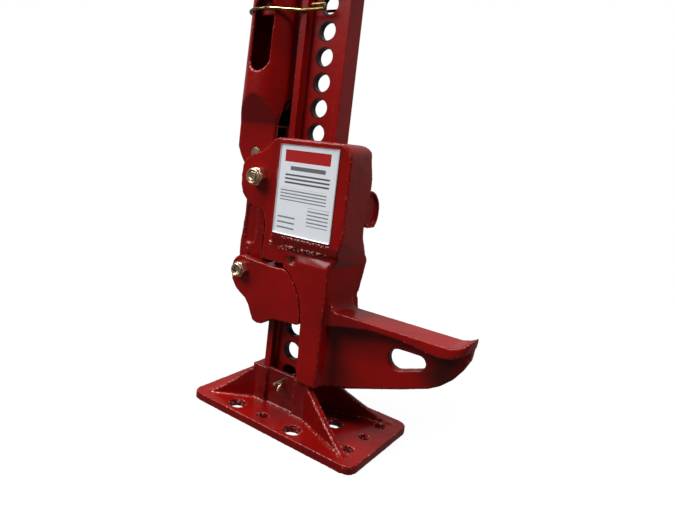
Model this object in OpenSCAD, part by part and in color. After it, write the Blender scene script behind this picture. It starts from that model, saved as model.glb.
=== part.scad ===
// High lift jack: a mechanism of two runners climbs a tall perforated bar.
// +Z is up, +X points along the lifting nose, Y runs along the bar's holes.
// The origin is on the bar's axis, at the ground.

/* [Bar] */
// Length of the perforated bar
bar_len = 1219; // [1100:1:1300]
// Width of the bar across its flanges' outer faces
bar_w = 50.8; // [49:0.1:52]
// Depth of the flanges, along the holes
bar_d = 20.6; // [20:0.1:22]
// Thickness of each flange
flange_t = 6.5; // [5:0.1:8]
// Thickness of the web that the holes go through
web_t = 5.9; // [5:0.1:7]
// Diameter of the climbing holes
hole_d = 16; // [15.4:0.1:17]
// Pitch of the climbing holes
hole_pitch = 22.4; // [22:0.1:24]
// Height of the lowest hole above the ground
first_hole_z = 35.3; // [34:0.1:36]
// Height of the bar's lower end above the ground
bar_bottom_z = 4; // [2:0.5:6]

/* [Foot] */
// Length of the foot plate
foot_l = 175.6; // [165:0.5:190]
// Width of the foot plate
foot_w = 102; // [96:0.5:115]
// Thickness of the foot plate
foot_t = 7; // [6:0.5:9]
// Corner radius of the foot plate
foot_corner_r = 9; // [4:0.5:14]
// How far the plate's middle lies from the bar, towards the nose
foot_offset = 11.3; // [8:0.1:14]
// Height of the foot's socket above the ground
tower_h = 40; // [38:0.5:40]
// Wall of the foot's socket beyond the bar's flange
tower_wall = 6.8; // [5:0.1:9]
// Depth of the shallow recess in the middle of the socket's wide sides
foot_recess = 3; // [2:0.1:3]
// Thickness of the diagonal ribs
rib_t = 6; // [4:0.5:9]
// Diameter of the large holes in the plate
foot_hole_d = 16; // [12:0.5:18]
// Diameter of the small holes in the plate
foot_small_hole_d = 10; // [6:0.5:12]

/* [Large runner] */
// Height of the runner, from the foot's socket to its top
runner_h = 212.6; // [210:0.1:216]
// Distance from the bar's axis to the front of the label panel
panel_y = 24; // [23.5:0.1:25]
// Thickness of the ears that carry the handle, and of the front wall
ear_t = 7.8; // [7:0.1:8.4]
// Inner gap between the two ears
ear_gap = 26.4; // [26:0.1:28]
// Gap between the bar and the runners
bar_clear = 1; // [0.6:0.1:1.2]

/* [Lifting nose] */
// Reach of the nose's tip from the bar's axis
nose_reach = 163; // [156:0.5:174]
// Width of the nose's load flange
nose_w = 31; // [28:0.5:34]
// Thickness of the nose's web
nose_web_t = 8; // [6:0.5:12]
// Height of the load face above the ground, with the runner down
load_z = 110; // [106:0.5:114]

/* [Handle] */
// Length of the handle tube
tube_len = 762; // [600:1:800]
// Outer diameter of the handle tube
tube_d = 35; // [34:0.1:36]
// Wall of the handle tube
tube_wall = 3; // [2:0.1:4]
// Outer diameter of the socket's rim
socket_d = 49; // [47:0.5:51]
// Height of the socket's rim above the shear bolt
socket_rise = 177; // [170:0.5:185]

/* [Fasteners and pins] */
// Diameter of the shear bolt and of the clamp bolt
bolt_d = 9.5; // [9:0.1:11]
// Diameter of the pitman bolt
pitman_bolt_d = 8; // [7.5:0.1:9]
// Diameter of the pin that joins the pitman to the socket
link_pin_d = 10; // [9:0.1:10.4]
// Diameter of the climbing pins
climb_pin_d = 14; // [13:0.1:14.4]
// Radial clearance of pins and bolts in their bores
pin_clear = 0.05; // [0.02:0.01:0.1]
// Wire diameter of the climbing pin springs
spring_wire = 1.8; // [1.4:0.1:1.9]

/* [Hidden] */
$fn = 64;

paint = "firebrick";
zinc = "darkkhaki";
steel = "silver";

// Overrun of every cut, and the running gap between faces of different pieces
cut = 1;
gap = 0.3;

// Bar, its holes and what follows from them
bar_top_z = bar_bottom_z + bar_len;
top_margin = 22;
hole_count = floor((bar_top_z - top_margin - first_hole_z) / hole_pitch) + 1;
web_fillet = 1.6;
pass_x = bar_w / 2 + bar_clear;
pass_y = bar_d / 2 + bar_clear;

// Heights on the runners go with the large runner's height, from its lower end
runner_bottom_z = tower_h + gap;
runner_top_z = runner_bottom_z + runner_h;
function high(share) = runner_bottom_z + share * runner_h;

// Points of an outline that is drawn in shares of the bar's width and the runner's height
function spread(table) = [for (p = table) [p[0] * bar_w, high(p[1])]];

// Places of the pivots, seen from the front
shear_x = -46;
shear_z = high(0.8217);
link_x = -61;
link_z = high(0.9205);
pitman_x = -56;
pitman_z = high(0.4007);

// Climbing pins: the upper one is in a hole, the lower one is drawn back
cage_half = 17;
pin_clearance_z = 20;
upper_hole = round((runner_top_z - 2 * pin_clearance_z - first_hole_z) / hole_pitch);
lower_hole = round((pitman_z - pin_clearance_z - first_hole_z) / hole_pitch);
upper_pin_z = first_hole_z + upper_hole * hole_pitch;
lower_pin_z = first_hole_z + lower_hole * hole_pitch;
pin_stroke = 11.4;
pin_tip_y = -8;
pin_len = 80;

// Points of an arc about (cx, cy), from angle a0 to a1 in n steps
function arc(cx, cy, r, a0, a1, n) =
    [for (i = [0 : n]) let(a = a0 + (a1 - a0) * i / n) [cx + r * cos(a), cy + r * sin(a)]];

// Extrudes an outline drawn in X and Z from y0 to y1
module slab(y0, y1) {
    translate([0, y1, 0]) rotate([90, 0, 0]) linear_extrude(y1 - y0) children();
}

// A round bar along Y from y0 to y1
module round_y(x, z, r, y0, y1) {
    translate([x, y1, z]) rotate([90, 0, 0]) cylinder(r = r, h = y1 - y0);
}

// A box between two corners
module block(low, high) {
    translate(low) cube(high - low);
}

// The bar is an I section with a row of holes through its web
module bar_section() {
    w = bar_w / 2;
    d = bar_d / 2;
    f = w - flange_t;
    t = web_t / 2;
    quarter = [[w, d], [f, d], [f, t + web_fillet], [f - web_fillet, t]];
    polygon(concat(
        quarter,
        [for (i = [3 : -1 : 0]) [-quarter[i][0], quarter[i][1]]],
        [for (p = quarter) -p],
        [for (i = [3 : -1 : 0]) [quarter[i][0], -quarter[i][1]]]
    ));
}

module standard_bar() {
    color(paint) difference() {
        translate([0, 0, bar_bottom_z]) linear_extrude(bar_len) bar_section();
        for (i = [0 : hole_count - 1])
            round_y(0, first_hole_z + i * hole_pitch, hole_d / 2, -web_t, web_t);
    }
}

// The foot: a cast plate, a socket round the bar and four diagonal ribs
tower_x = bar_w / 2 + tower_wall;
tower_y = bar_d / 2 + tower_wall + cut;
cotter_z = first_hole_z - hole_d / 4;
cotter_d = 4;
foot_hole_x = [-30, 33];
foot_hole_y = 38;
side_hole_x = 51;
end_hole_x = 82;
end_hole_y = 27;
recess_share = 0.49;

module foot_plate() {
    r = foot_corner_r;
    x0 = foot_offset - foot_l / 2 + r;
    x1 = foot_offset + foot_l / 2 - r;
    y1 = foot_w / 2 - r;
    linear_extrude(foot_t) polygon(concat(
        arc(x1, y1, r, 0, 90, 8), arc(x0, y1, r, 90, 180, 8),
        arc(x0, -y1, r, 180, 270, 8), arc(x1, -y1, r, 270, 360, 8)
    ));
}

// One rib: its top edge sweeps down in a hollow curve from the socket to the corner
module foot_rib(x1, y1) {
    x0 = sign(x1) * (tower_x - rib_t / 2);
    y0 = sign(y1) * (tower_y - rib_t / 2);
    run = norm([x1 - x0, y1 - y0]);
    rise = tower_h - foot_t - cut / 2;
    steps = 10;
    translate([x0, y0, foot_t - cut]) rotate([0, 0, atan2(y1 - y0, x1 - x0)])
        translate([0, rib_t / 2, 0]) rotate([90, 0, 0]) linear_extrude(rib_t) polygon(concat(
            [[0, 0]],
            [[run, 0]],
            [for (i = [0 : steps]) let(s = i / steps) [run * (1 - s), cut + rise * pow(s, 1.25)]]
        ));
}

module foot() {
    corner_in = foot_corner_r + rib_t / 4;
    x0 = foot_offset - foot_l / 2 + corner_in;
    x1 = foot_offset + foot_l / 2 - corner_in;
    y1 = foot_w / 2 - corner_in;
    color(paint) difference() {
        union() {
            foot_plate();
            block([-tower_x, -tower_y, foot_t - cut], [tower_x, tower_y, tower_h]);
            for (x = [x0, x1]) for (y = [-y1, y1]) foot_rib(x, y);
        }
        block([-bar_w / 2 - gap, -bar_d / 2 - gap, bar_bottom_z],
            [bar_w / 2 + gap, bar_d / 2 + gap, tower_h + cut]);
        for (x = foot_hole_x) for (y = [-foot_hole_y, foot_hole_y])
            translate([x, y, -cut]) cylinder(d = foot_hole_d, h = tower_h);
        for (y = [-foot_hole_y, foot_hole_y])
            translate([0, y, -cut]) cylinder(d = foot_small_hole_d, h = tower_h);
        translate([side_hole_x, 0, -cut]) cylinder(d = foot_hole_d, h = tower_h);
        translate([-side_hole_x, 0, -cut]) cylinder(d = foot_hole_d, h = tower_h);
        for (y = [-end_hole_y, 0, end_hole_y])
            translate([end_hole_x, y, -cut]) cylinder(d = foot_small_hole_d, h = tower_h);
        for (s = [-1, 1])
            block([-recess_share * tower_x, s < 0 ? -tower_y - cut : tower_y - foot_recess, foot_t],
                [recess_share * tower_x, s < 0 ? foot_recess - tower_y : tower_y + cut, tower_h + cut]);
        round_y(0, cotter_z, cotter_d / 2 + gap, -tower_y - cut, tower_y + cut);
    }
}

// The cotter pin holds the bar in the foot; its legs are bent apart in front
module foot_cotter_pin() {
    leg = cotter_d / 2;
    out = tower_y - foot_recess + gap;
    eye_r = cotter_d;
    leg_share = 0.75;
    color(zinc) {
        round_y(0, cotter_z, leg, -out, out + leg);
        translate([0, out + leg + eye_r, cotter_z]) rotate([0, 90, 0])
            rotate_extrude() translate([eye_r, 0]) circle(r = leg * leg_share, $fn = 24);
        for (s = [-1, 1])
            translate([0, -out, cotter_z]) rotate([90, 0, 0]) rotate([0, s * 55, 0])
                cylinder(r = leg * leg_share, h = cotter_d * 2, $fn = 24);
    }
}

// Hexagon heads and nuts; y is the face that they bear on and s the way they point
module hex_y(x, z, af, y, h, s) {
    translate([x, s > 0 ? y + h : y, z]) rotate([90, 0, 0])
        cylinder(d = af / cos(30), h = h, $fn = 6);
}

// Shares of a fastener's bolt diameter: its size across flats, its heights and its flange
af_share = 1.5;
nut_share = 1;
head_share = 0.7;
flange_share = 0.22;
collar_share = 0.6;
thread_share = 0.15;

module flanged_nut(x, z, d, y) {
    h = nut_share * d;
    hex_h = h * (1 - flange_share);
    flange_h = flange_share * d;
    difference() {
        union() {
            round_y(x, z, af_share * collar_share * d, y - flange_h, y);
            hex_y(x, z, af_share * d, y, hex_h, -1);
            round_y(x, z, collar_share * d, y - h, y - flange_h);
        }
        round_y(x, z, d / 2 + pin_clear, y - h - cut, y + cut);
    }
}

// A bolt along Y, its nut's end at y0 and its head on the face y1
module nutted_bolt(x, z, d, y0, y1) {
    round_y(x, z, d / 2, y0 - (nut_share + thread_share) * d, y1 + cut);
    hex_y(x, z, af_share * d, y1, head_share * d, 1);
}

// The clamp at the bar's top: a sleeve with an eye for a shackle or a chain
clamp_wall = 8;
clamp_low = 15;
clamp_top_z = bar_top_z + clamp_wall;
clamp_bolt_z = first_hole_z + (hole_count - 1) * hole_pitch;
clamp_eye_x = 62;
clamp_eye_r = 11;
clamp_lug_r = 22;
clamp_lug_t = 24;
clamp_y = bar_d / 2 + clamp_wall;

module top_clamp() {
    x1 = bar_w / 2 + clamp_wall;
    z0 = clamp_bolt_z - clamp_low;
    eye_z = (z0 + clamp_top_z) / 2;
    color(paint) difference() {
        union() {
            slab(-clamp_y, clamp_y) polygon(concat(
                [[-x1, z0]], [[x1, z0]],
                arc(x1 - clamp_wall, clamp_top_z - clamp_wall, clamp_wall, 0, 90, 6),
                arc(-x1 + clamp_wall, clamp_top_z - clamp_wall, clamp_wall, 90, 180, 6)
            ));
            slab(-clamp_lug_t / 2, clamp_lug_t / 2) polygon(concat(
                [[bar_w / 2, eye_z + clamp_lug_r]], [[bar_w / 2, eye_z - clamp_lug_r]],
                arc(clamp_eye_x, eye_z, clamp_lug_r, -90, 90, 16)
            ));
        }
        block([-bar_w / 2 - gap, -bar_d / 2 - gap, z0 - cut],
            [bar_w / 2 + gap, bar_d / 2 + gap, bar_top_z]);
        round_y(clamp_eye_x, eye_z, clamp_eye_r, -clamp_y, clamp_y);
        round_y(0, clamp_bolt_z, bolt_d / 2 + pin_clear, -clamp_y - cut, clamp_y + cut);
    }
}

module clamp_bolt() {
    color(zinc) nutted_bolt(0, clamp_bolt_z, bolt_d, -clamp_y, clamp_y);
}

module clamp_nut() {
    color(zinc) flanged_nut(0, clamp_bolt_z, bolt_d, -clamp_y);
}

// The large runner: a casting that wraps the bar, with the nose and the upper ears
ear_y = ear_gap / 2 + ear_t;
box_x = 52;
box_back_y = 16;
ear_in_x = 24;
box_draft = 4.3;
box_corner_r = 14;
panel_left_x = -24;
panel_r = 4;
web_wall_x = 30.5;
strip_x = 19;
strip_out_x = 39.3;
deep_x = 48.6;
shoulder_y = 29.2;
window_z = high(0.471);
curve_low_z = high(0.248);
curve_left_x = -8;
curve_rx = 24;
curve_rz = 43;
notch_x = 21;
small_gap = 0.7;

// Where the front corner of the right side stands, as it widens into the box
corner_step_share = [0.502, 0.549, 0.619];
corner_x = [strip_out_x, 46.5, box_x];

// Left edge, from the box's top round the ear and down to the window
ear_share = [
    [-0.522, 1], [-0.646, 0.989], [-0.762, 0.957], [-0.909, 0.932],
    [-1.094, 0.918], [-1.252, 0.894], [-1.323, 0.866], [-1.344, 0.819],
    [-1.331, 0.774], [-1.266, 0.734], [-1.122, 0.701], [-0.939, 0.687],
    [-0.801, 0.684], [-0.711, 0.668], [-0.669, 0.624], [-0.657, 0.471]
];

// Back edge of the right side, in shares of the shoulder's depth: it bulges in front
// of the latch and again at the shoulder
side_share = [
    [0.908, 0], [0.908, 0.3], [0.771, 0.375], [0.979, 0.478],
    [1, 0.521], [0.76, 0.577], [0.575, 0.622], [0.555, 0.657],
    [0.555, 0.77], [0.74, 0.826], [0.719, 0.873], [0.562, 0.939], [0.479, 1]
];

// Edge of the window that the small runner moves in, moved out by d
function window_curve(d) =
    [for (i = [0 : 10]) let(a = 90 * i / 10, bow = 1.15)
        [curve_left_x + (curve_rx + d) * pow(cos(a), bow),
            curve_low_z + (curve_rz + d) * pow(sin(a), bow)]];

function box_corner() =
    arc(box_x - box_corner_r, runner_top_z - box_corner_r, box_corner_r, 0, 90, 8);

module runner_outline() {
    polygon(concat(
        [[curve_left_x, window_z]],
        [[strip_out_x, window_z]],
        [for (i = [0 : 2]) [corner_x[i], high(corner_step_share[i])]],
        box_corner(),
        spread(ear_share)
    ));
}

// The label's panel stands proud, and its lower edge slopes back into the wall
module panel() {
    r = panel_r;
    low_z = high(corner_step_share[1]);
    slope = 2.6 * (panel_y - ear_y);
    intersection() {
        slab(-panel_y, -ear_y + cut) polygon(concat(
            [[panel_left_x, low_z]],
            [[corner_x[1], low_z]],
            [[box_x, high(corner_step_share[2])]],
            box_corner(),
            arc(panel_left_x + r, runner_top_z - r, r, 90, 180, 4)
        ));
        along_x(panel_left_x - cut, box_x + cut) polygon([
            [-ear_y, low_z], [-panel_y, low_z + slope], [-panel_y, runner_top_z],
            [0, runner_top_z], [0, low_z]
        ]);
    }
}

// Extrudes an outline drawn in Y and Z from x0 to x1
module along_x(x0, x1) {
    translate([x0, 0, 0]) rotate([90, 0, 90]) linear_extrude(x1 - x0) children();
}

module front_wall_outline() {
    polygon(concat(
        [[curve_left_x, window_z + cut]],
        [for (i = [10 : -1 : 0]) window_curve(small_gap)[i]],
        [[strip_x, runner_bottom_z]],
        [[strip_out_x, runner_bottom_z]],
        [[strip_out_x, window_z + cut]]
    ));
}

// Plan of the right side, with its front corner at x
module side_plan(x) {
    polygon([
        [strip_x, -ear_y], [x, -ear_y], [deep_x, shoulder_y + cut], [strip_x, shoulder_y + cut]
    ]);
}

module right_side() {
    z = [for (s = corner_step_share) high(s)];
    intersection() {
        along_x(strip_x, box_x + cut) polygon(concat(
            [[-ear_y, runner_top_z]],
            [[-ear_y, runner_bottom_z]],
            [for (p = side_share) [p[0] * shoulder_y, high(p[1])]]
        ));
        union() {
            translate([0, 0, runner_bottom_z]) linear_extrude(z[0] - runner_bottom_z)
                side_plan(corner_x[0]);
            for (i = [0, 1]) hull() {
                translate([0, 0, z[i]]) linear_extrude(gap) side_plan(corner_x[i]);
                translate([0, 0, z[i + 1] - gap]) linear_extrude(gap) side_plan(corner_x[i + 1]);
            }
            translate([0, 0, z[2]]) linear_extrude(runner_h) side_plan(box_x);
        }
        slab(-panel_y, shoulder_y + cut) polygon(concat(
            [[strip_x, runner_bottom_z]], [[box_x, runner_bottom_z]], box_corner(),
            [[strip_x, runner_top_z]]
        ));
    }
}

// The cage at the back holds a climbing pin and its spring
cage_arm = 4;
cage_in_y = ear_y;
cage_room = 30;
cage_bridge = 7;
cage_bridge_y = cage_in_y + cage_room;
cage_out_y = cage_bridge_y + cage_bridge;

module pin_cage(z) {
    difference() {
        block([-cage_half, pass_y, z - cage_half], [cage_half, cage_out_y, z + cage_half]);
        block([-cage_half - cut, cage_in_y, z - cage_half + cage_arm],
            [cage_half + cut, cage_bridge_y, z + cage_half - cage_arm]);
    }
}

// The nose, in shares of its reach and of the load face's height: a web that rises to
// the tip, under a flange that turns up at its end
web_share = [
    [0.3741, 0.391], [0.6751, 0.55], [0.8132, 0.63], [0.8689, 0.68], [0.9214, 0.751],
    [0.9616, 0.835], [0.9905, 0.921]
];
under_share = [
    [0.2391, 0.869], [0.3556, 0.905], [0.4968, 0.944], [0.5947, 0.95], [0.7143, 0.938],
    [0.808, 0.918], [0.8771, 0.914], [0.9235, 0.928], [0.9668, 0.959], [0.988, 0.984]
];
tip_share = [
    [1, 1.08], [0.985, 1.051], [0.952, 1.02], [0.908, 1]
];
tip_corner_r = 11;
web_fillet_r = 12;
top_fillet_r = 11;

function on_nose(table) = [for (p = table) [p[0] * nose_reach, p[1] * load_z]];

// Place of the right side's face at depth y, low down
function side_x(y) =
    strip_out_x + (deep_x - strip_out_x) * (y + ear_y) / (shoulder_y + cut + ear_y);

module nose() {
    w = nose_w / 2;
    r = tip_corner_r;
    intersection() {
        union() {
            slab(-nose_web_t / 2, nose_web_t / 2) polygon(concat(
                [[pass_x, load_z]], [[pass_x, runner_bottom_z]],
                on_nose(web_share), on_nose([tip_share[0]])
            ));
            slab(-w, w) polygon(concat(
                [[pass_x, load_z]], [[pass_x, on_nose(under_share)[0][1]]],
                on_nose(under_share), on_nose([tip_share[0]])
            ));
        }
        slab(-nose_w, nose_w) polygon(concat(
            [[pass_x, load_z]], [[pass_x, 0]], [[nose_reach, 0]], on_nose(tip_share)
        ));
        linear_extrude(runner_top_z) polygon(concat(
            [[pass_x, -w]],
            arc(nose_reach - r, -w + r, r, -90, 0, 8),
            arc(nose_reach - r, w - r, r, 0, 90, 8),
            [[pass_x, w]]
        ));
    }
}

// Fillets: upright ones between the side and the web, and one along the flange's top
module nose_fillets() {
    r = web_fillet_r;
    t = nose_web_t / 2;
    turn = atan2(deep_x - strip_out_x, shoulder_y + ear_y);
    rise = on_nose(under_share)[0][1] - runner_bottom_z;
    for (s = [-1, 1]) let(y = s * (t + r), x = side_x(s * (t + r)) + r)
        translate([0, 0, runner_bottom_z]) linear_extrude(rise + cut) polygon(concat(
            [[pass_x, y]], arc(x, y, r, 180, 180 + s * 90, 6), [[x, 0]], [[pass_x, 0]]
        ));
    translate([strip_out_x, -ear_y, 0]) rotate([0, 0, -turn])
        slab(ear_y - nose_w / 2 + cut, ear_y + nose_w / 2) polygon(concat(
            [[-top_fillet_r, load_z - cut]], [[top_fillet_r, load_z - cut]],
            arc(top_fillet_r, load_z + top_fillet_r, top_fillet_r, 270, 180, 6),
            [[-top_fillet_r, load_z + top_fillet_r]]
        ));
}

hole_low_r = 8.5;
hole_end_r = 5.6;
hole_share = [[0.6411, 0.764], [0.7503, 0.793]];

module nose_hole() {
    c = on_nose(hole_share);
    slab(-nose_w, nose_w) polygon(concat(
        arc(c[0][0], c[0][1], hole_low_r, 100, 285, 10),
        arc(c[1][0], c[1][1], hole_end_r, -70, 85, 8)
    ));
}

// The latch's pivot stands behind the box's right side
latch_y = 25.5;
latch_z = high(0.7);
latch_pin_d = 7;
latch_x0 = 32;
latch_x1 = 45.5;
latch_rim = 2.5;

// A small recess that the mould leaves over the window
recess_x = 1.5;
recess_z = high(0.497);
recess_r = 3.4;
recess_deep = 3;

module large_runner() {
    color(paint) difference() {
        union() {
            slab(-ear_y, box_back_y) intersection() {
                runner_outline();
                translate([-2 * box_x, window_z]) square([2 * box_x + strip_x + cut, runner_h]);
            }
            slab(-ear_y, -pass_y) runner_outline();
            panel();
            slab(box_back_y - cut, ear_y) intersection() {
                runner_outline();
                translate([-2 * box_x, window_z]) square([2 * box_x - ear_in_x, runner_h]);
            }
            slab(-ear_y, -pass_y) front_wall_outline();
            right_side();
            pin_cage(upper_pin_z);
            nose();
            nose_fillets();
            along_x(pass_x, latch_x0) latch_boss_outline();
        }
        block([-pass_x, -pass_y, 0], [pass_x, pass_y, runner_top_z + cut]);
        block([-2 * box_x, -ear_gap / 2, 0], [-web_wall_x, ear_gap / 2, runner_top_z + cut]);
        translate([box_x, -panel_y, high(corner_step_share[1])]) rotate([0, 0, box_draft])
            block([0, -cut, 0], [nose_reach, 3 * panel_y, runner_h]);
        block([-2 * box_x, 0, 0], [notch_x, 2 * shoulder_y, window_z]);
        round_y(shear_x, shear_z, bolt_d / 2 + pin_clear, -panel_y - cut, panel_y + cut);
        round_y(0, upper_pin_z, climb_pin_d / 2 + pin_clear, 0, cage_out_y + cut);
        round_y(recess_x, recess_z, recess_r, -panel_y, -ear_y + recess_deep);
        nose_hole();
        translate([pass_x + cut, latch_y, latch_z]) rotate([0, 90, 0])
            cylinder(d = latch_pin_d + 2 * pin_clear, h = box_x);
    }
}

// The boss at the back that carries the latch's pin
module latch_boss_outline() {
    polygon(concat(
        [[pass_y, latch_z + latch_pin_d]],
        [[pass_y, latch_z - latch_pin_d]],
        arc(latch_y, latch_z, latch_pin_d, -90, 90, 8)
    ));
}

module shear_bolt() {
    color(zinc) nutted_bolt(shear_x, shear_z, bolt_d, -ear_y, ear_y);
}

module shear_nut() {
    color(zinc) flanged_nut(shear_x, shear_z, bolt_d, -ear_y);
}

module pitman_bolt() {
    color(zinc) nutted_bolt(pitman_x, pitman_z, pitman_bolt_d, -ear_y, ear_y);
}

module pitman_nut() {
    color(zinc) flanged_nut(pitman_x, pitman_z, pitman_bolt_d, -ear_y);
}

// The small runner hooks round the bar's left flange and carries the pitman
small_eye_r = 13;
lip_gap = 0.8;

// Its outline, from the eye down round the foot, and its top edge from right to left
small_share = [
    [-1.358, 0.394], [-1.329, 0.342], [-1.22, 0.309], [-1.102, 0.29], [-0.965, 0.274],
    [-0.876, 0.248], [-0.807, 0.215], [-0.738, 0.189], [-0.65, 0.182], [-0.531, 0.184],
    [-0.413, 0.206], [-0.276, 0.222], [0.276, 0.234]
];
small_top_share = [[-0.315, 0.448], [-0.748, 0.452], [-1.024, 0.457]];

module small_outline() {
    polygon(concat(
        spread(small_share),
        window_curve(0),
        spread(small_top_share),
        arc(pitman_x, pitman_z, small_eye_r, 90, 170, 8)
    ));
}

module small_runner() {
    flange_in = bar_w / 2 - flange_t - lip_gap;
    web_face = web_t / 2 + lip_gap;
    color(paint) difference() {
        union() {
            slab(-ear_y, ear_y) small_outline();
            pin_cage(lower_pin_z);
        }
        block([-pass_x, -pass_y, 0], [-flange_in, pass_y, runner_h]);
        block([-bar_w / 2, -web_face, 0], [bar_w, web_face, runner_h]);
        block([flange_in, -pass_y, 0], [bar_w, pass_y, runner_h]);
        block([-2 * box_x, -ear_gap / 2, 0], [-web_wall_x - lip_gap, ear_gap / 2, runner_h]);
        round_y(pitman_x, pitman_z, pitman_bolt_d / 2 + pin_clear, -panel_y, panel_y);
        round_y(0, lower_pin_z, climb_pin_d / 2 + pin_clear, pin_tip_y - gap, cage_out_y + cut);
    }
}

// The pitman links the socket to the small runner; its upper eye has play
pitman_t = 12.4;
eye_play = 4.6;
pitman_eye_r = 14;
recess_out_r = 6.5;
pitman_recess_t = 1.8;
button_r = 3.2;
button_t = 0.8;

// Its left edge from the lower eye up, and its right edge from the upper eye down
pitman_left_share = [
    [-1.339, 0.365], [-1.463, 0.408], [-1.48, 0.505], [-1.451, 0.56],
    [-1.421, 0.643], [-1.425, 0.714], [-1.467, 0.873]
];
pitman_right_share = [
    [-1.043, 0.855], [-1.043, 0.784], [-0.906, 0.732], [-0.896, 0.516], [-0.856, 0.441]
];
pitman_recess_share = [[-1.24, 0.66], [-1.24, 0.535]];
button_share = [[-1.27, 0.469]];

module pitman() {
    face_y = pitman_t / 2;
    web_y = face_y - pitman_recess_t;
    c = spread(pitman_recess_share);
    b = spread(button_share)[0];
    color(paint) difference() {
        union() {
            slab(-face_y, face_y) polygon(concat(
                spread(pitman_left_share), [[link_x, link_z]], spread(pitman_right_share)
            ));
            round_y(pitman_x, pitman_z, pitman_eye_r, -face_y, face_y);
            round_y(link_x, link_z, pitman_eye_r, -face_y, face_y);
            round_y(b[0], b[1], button_r, -face_y - button_t, 0);
        }
        round_y(pitman_x, pitman_z, pitman_bolt_d / 2 + pin_clear, -pitman_t, pitman_t);
        round_y(link_x, link_z, link_pin_d / 2 + eye_play, -pitman_t, pitman_t);
        for (y = [[-face_y - cut, -web_y], [web_y, face_y + cut]]) slab(y[0], y[1]) polygon(concat(
            arc(c[1][0], c[1][1], recess_out_r, 180, 360, 8),
            arc(c[0][0], c[0][1], recess_out_r, 0, 180, 8)
        ));
    }
}

// The handle socket: a tube that ends in a yoke between the large runner's ears
socket_x = -59.5;
socket_top_z = shear_z + socket_rise;
socket_flare = 5;
yoke_rise = 49;
yoke_top_z = shear_z + yoke_rise;
yoke_gap = 0.4;
yoke_y = ear_gap / 2 - yoke_gap;
yoke_boss_r = 15.2;
neck_h = 27;
slot_gap = 0.5;
slot_half = pitman_t / 2 + slot_gap;
mouth_half = 9.5;
mouth_h = 25;
mouth_top_z = yoke_top_z + mouth_h;
bore_lip = 6;
cavity_wall = 4.5;
tube_end_rise = 147;
tube_end_z = shear_z + tube_end_rise;
window_low_rise = 107;
window_high_rise = 151;
window_aside = 1;
socket_window_x = socket_x + window_aside;
socket_window_low_z = shear_z + window_low_rise;
socket_window_high_z = shear_z + window_high_rise;
socket_window_w = 22;

// Left and right edges of the yoke, in shares of the socket's diameter and the yoke's
// height: the left one from the tube down, and the right one from the boss up
yoke_left_share = [
    [-0.551, 1.1], [-0.551, 0.755], [-0.52, 0.571], [-0.418, 0.367],
    [-0.255, 0.143], [-0.092, -0.122]
];
yoke_right_share = [
    [0.429, 0.429], [0.39, 0.612], [0.386, 0.755], [0.396, 0.931], [0.443, 1.1]
];
mouth_share = [[0.514, 1.31], [0.567, 1.443]];

// Radius of the socket's round part at height z
function socket_r(z) =
    (socket_d + socket_flare * (socket_top_z - z) / (socket_top_z - yoke_top_z)) / 2;
function on_yoke(table) =
    [for (p = table) [socket_x + p[0] * socket_d, shear_z + p[1] * yoke_rise]];

module handle_socket() {
    neck_z = yoke_top_z + neck_h;
    wide = socket_d + socket_flare;
    color(paint) difference() {
        intersection() {
            union() {
                slab(-yoke_y, yoke_y) polygon(concat(
                    on_yoke(yoke_left_share),
                    arc(shear_x, shear_z, yoke_boss_r, 215, 400, 12),
                    on_yoke(yoke_right_share)
                ));
                translate([socket_x, 0, yoke_top_z])
                    cylinder(d1 = wide, d2 = socket_d, h = socket_top_z - yoke_top_z);
            }
            union() {
                translate([socket_x, 0, 0]) cylinder(d = wide, h = socket_top_z + cut);
                block([socket_x, -wide, 0], [socket_x + wide, wide, yoke_top_z]);
            }
            slab(-wide, wide) polygon(concat(
                [[socket_x - wide, socket_top_z + cut]], [[socket_x - wide, 0]],
                [[socket_x + wide, 0]], [[socket_x + wide, shear_z]],
                on_yoke(yoke_right_share), on_yoke(mouth_share),
                [[socket_x + wide, neck_z]], [[socket_x + wide, socket_top_z + cut]]
            ));
            along_x(socket_x - wide, socket_x + wide) polygon([
                [-yoke_y, 0], [yoke_y, 0], [yoke_y, yoke_top_z], [wide / 2, neck_z],
                [wide / 2, socket_top_z + cut], [-wide / 2, socket_top_z + cut],
                [-wide / 2, neck_z], [-yoke_y, yoke_top_z]
            ]);
        }
        translate([socket_x, 0, tube_end_z - cut])
            cylinder(d = tube_d + 2 * gap, h = socket_rise);
        translate([socket_x, 0, neck_z])
            cylinder(r = socket_r(neck_z) - cavity_wall, h = tube_end_z + bore_lip - neck_z);
        translate([socket_x, 0, yoke_top_z])
            cylinder(r1 = mouth_half, r2 = socket_r(neck_z) - cavity_wall, h = neck_h);
        block([socket_x - wide, -slot_half, 0], [0, slot_half, yoke_top_z + mouth_half]);
        along_x(socket_x, socket_x + wide) polygon(concat(
            [[-mouth_half, yoke_top_z - cut]], [[mouth_half, yoke_top_z - cut]],
            arc(0, mouth_top_z - mouth_half, mouth_half, 0, 180, 12)
        ));
        for (z = [socket_window_low_z, socket_window_high_z])
            round_y(socket_window_x, z, socket_window_w / 2, -socket_d, 0);
        block([socket_window_x - socket_window_w / 2, -socket_d, socket_window_low_z],
            [socket_window_x + socket_window_w / 2, 0, socket_window_high_z]);
        round_y(shear_x, shear_z, bolt_d / 2 + pin_clear, -panel_y, panel_y);
        round_y(link_x, link_z, link_pin_d / 2 + pin_clear, -panel_y, panel_y);
    }
}

module socket_pin() {
    color(zinc) round_y(link_x, link_z, link_pin_d / 2, -yoke_y, yoke_y);
}

module handle_tube() {
    color(paint) translate([socket_x, 0, tube_end_z]) difference() {
        cylinder(d = tube_d, h = tube_len);
        translate([0, 0, -cut]) cylinder(d = tube_d - 2 * tube_wall, h = tube_len + 2 * cut);
    }
}

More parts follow.
